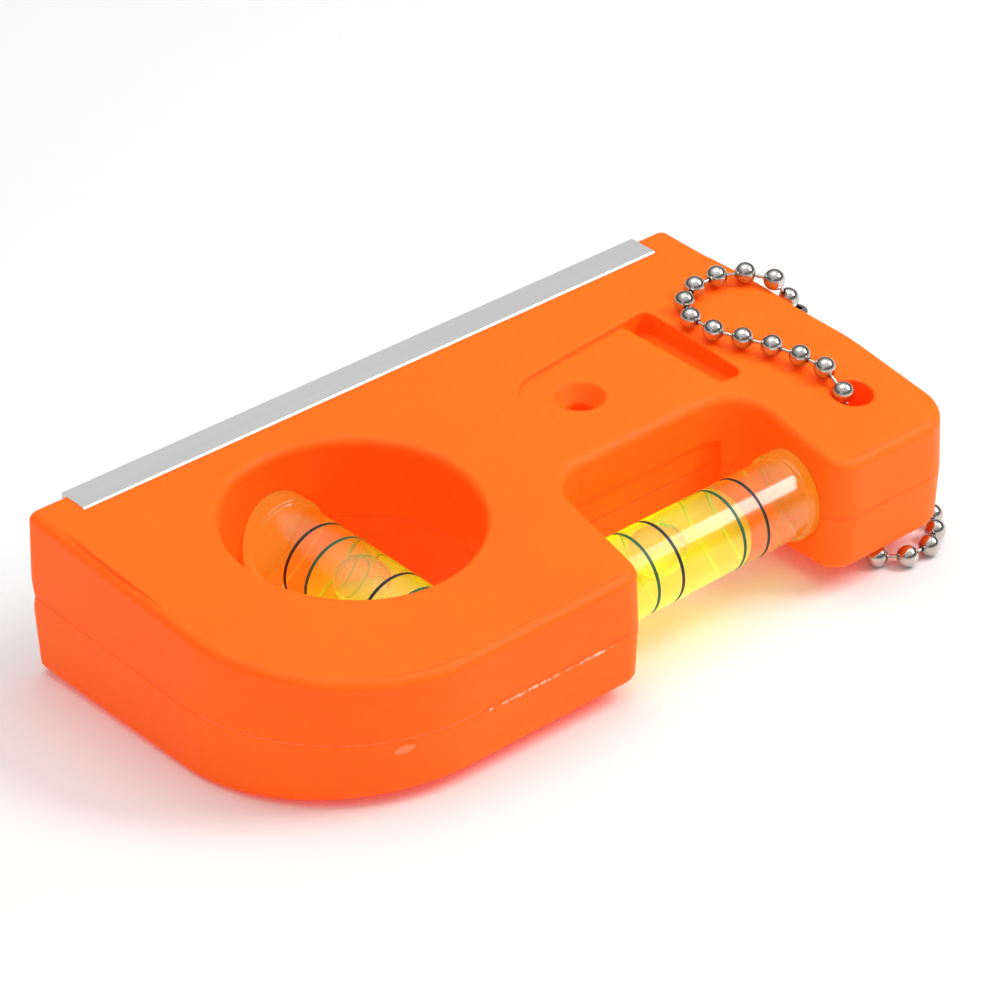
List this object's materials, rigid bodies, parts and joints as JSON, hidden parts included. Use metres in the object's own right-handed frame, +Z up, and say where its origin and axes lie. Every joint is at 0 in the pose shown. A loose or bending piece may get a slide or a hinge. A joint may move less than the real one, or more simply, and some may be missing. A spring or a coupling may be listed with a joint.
{
  "type": "keychain level",
  "caption": "Pocket spirit level with a D-shaped orange body, a grooved metal rail, a level vial in a notch, a plumb vial in a round window and a ball chain loop.",
  "frame": {"origin": "middle of the base face, on the seam between the half shells, at the mouth of the V-groove", "axes": "+X along the rail towards the chain end, +Y out of the base face, +Z up out of the face that has the clip seat"},
  "size_m": [0.0965, 0.0471, 0.0236],
  "materials": {
    "orange_plastic": "satin moulded plastic",
    "rail_metal": "satin",
    "clear_acrylic": "clear polished",
    "yellow_liquid": "clear yellow-green liquid",
    "air": "air",
    "black_paint": "paint",
    "green_paint": "paint",
    "nickel": "bright nickel plate"
  },
  "bodies": {
    "level": {"upper_shell": "orange_plastic", "lower_shell": "orange_plastic", "base_rail": "rail_metal", "level_barrel": "clear_acrylic", "level_plug": "clear_acrylic", "level_rings_black": "black_paint", "level_rings_green": "green_paint", "level_liquid": "yellow_liquid", "plumb_barrel": "clear_acrylic", "plumb_plug": "clear_acrylic", "plumb_rings_black": "black_paint", "plumb_rings_green": "green_paint", "plumb_liquid": "yellow_liquid", "chain_beads": "nickel", "chain_links": "nickel"},
    "level_bubble": {"level_bubble": "air"},
    "plumb_bubble": {"plumb_bubble": "air"},
    "chain_coupling": {"chain_coupling": "nickel"}
  },
  "joints": [
    {"name": "level_bubble_slide", "type": "slide", "parent": "level", "child": "level_bubble", "axis": [1, 0, 0], "range_m": [-0.0047, 0.0061]},
    {"name": "plumb_bubble_slide", "type": "slide", "parent": "level", "child": "plumb_bubble", "axis": [0, 1, 0], "range_m": [-0.0098, 0.001]},
    {"name": "coupling_swivel", "type": "hinge", "parent": "level", "child": "chain_coupling", "pos_m": [0.0455, -0.01815, 0.0037], "axis": [0, -1, 0], "range_deg": [0, 30]}
  ]
}
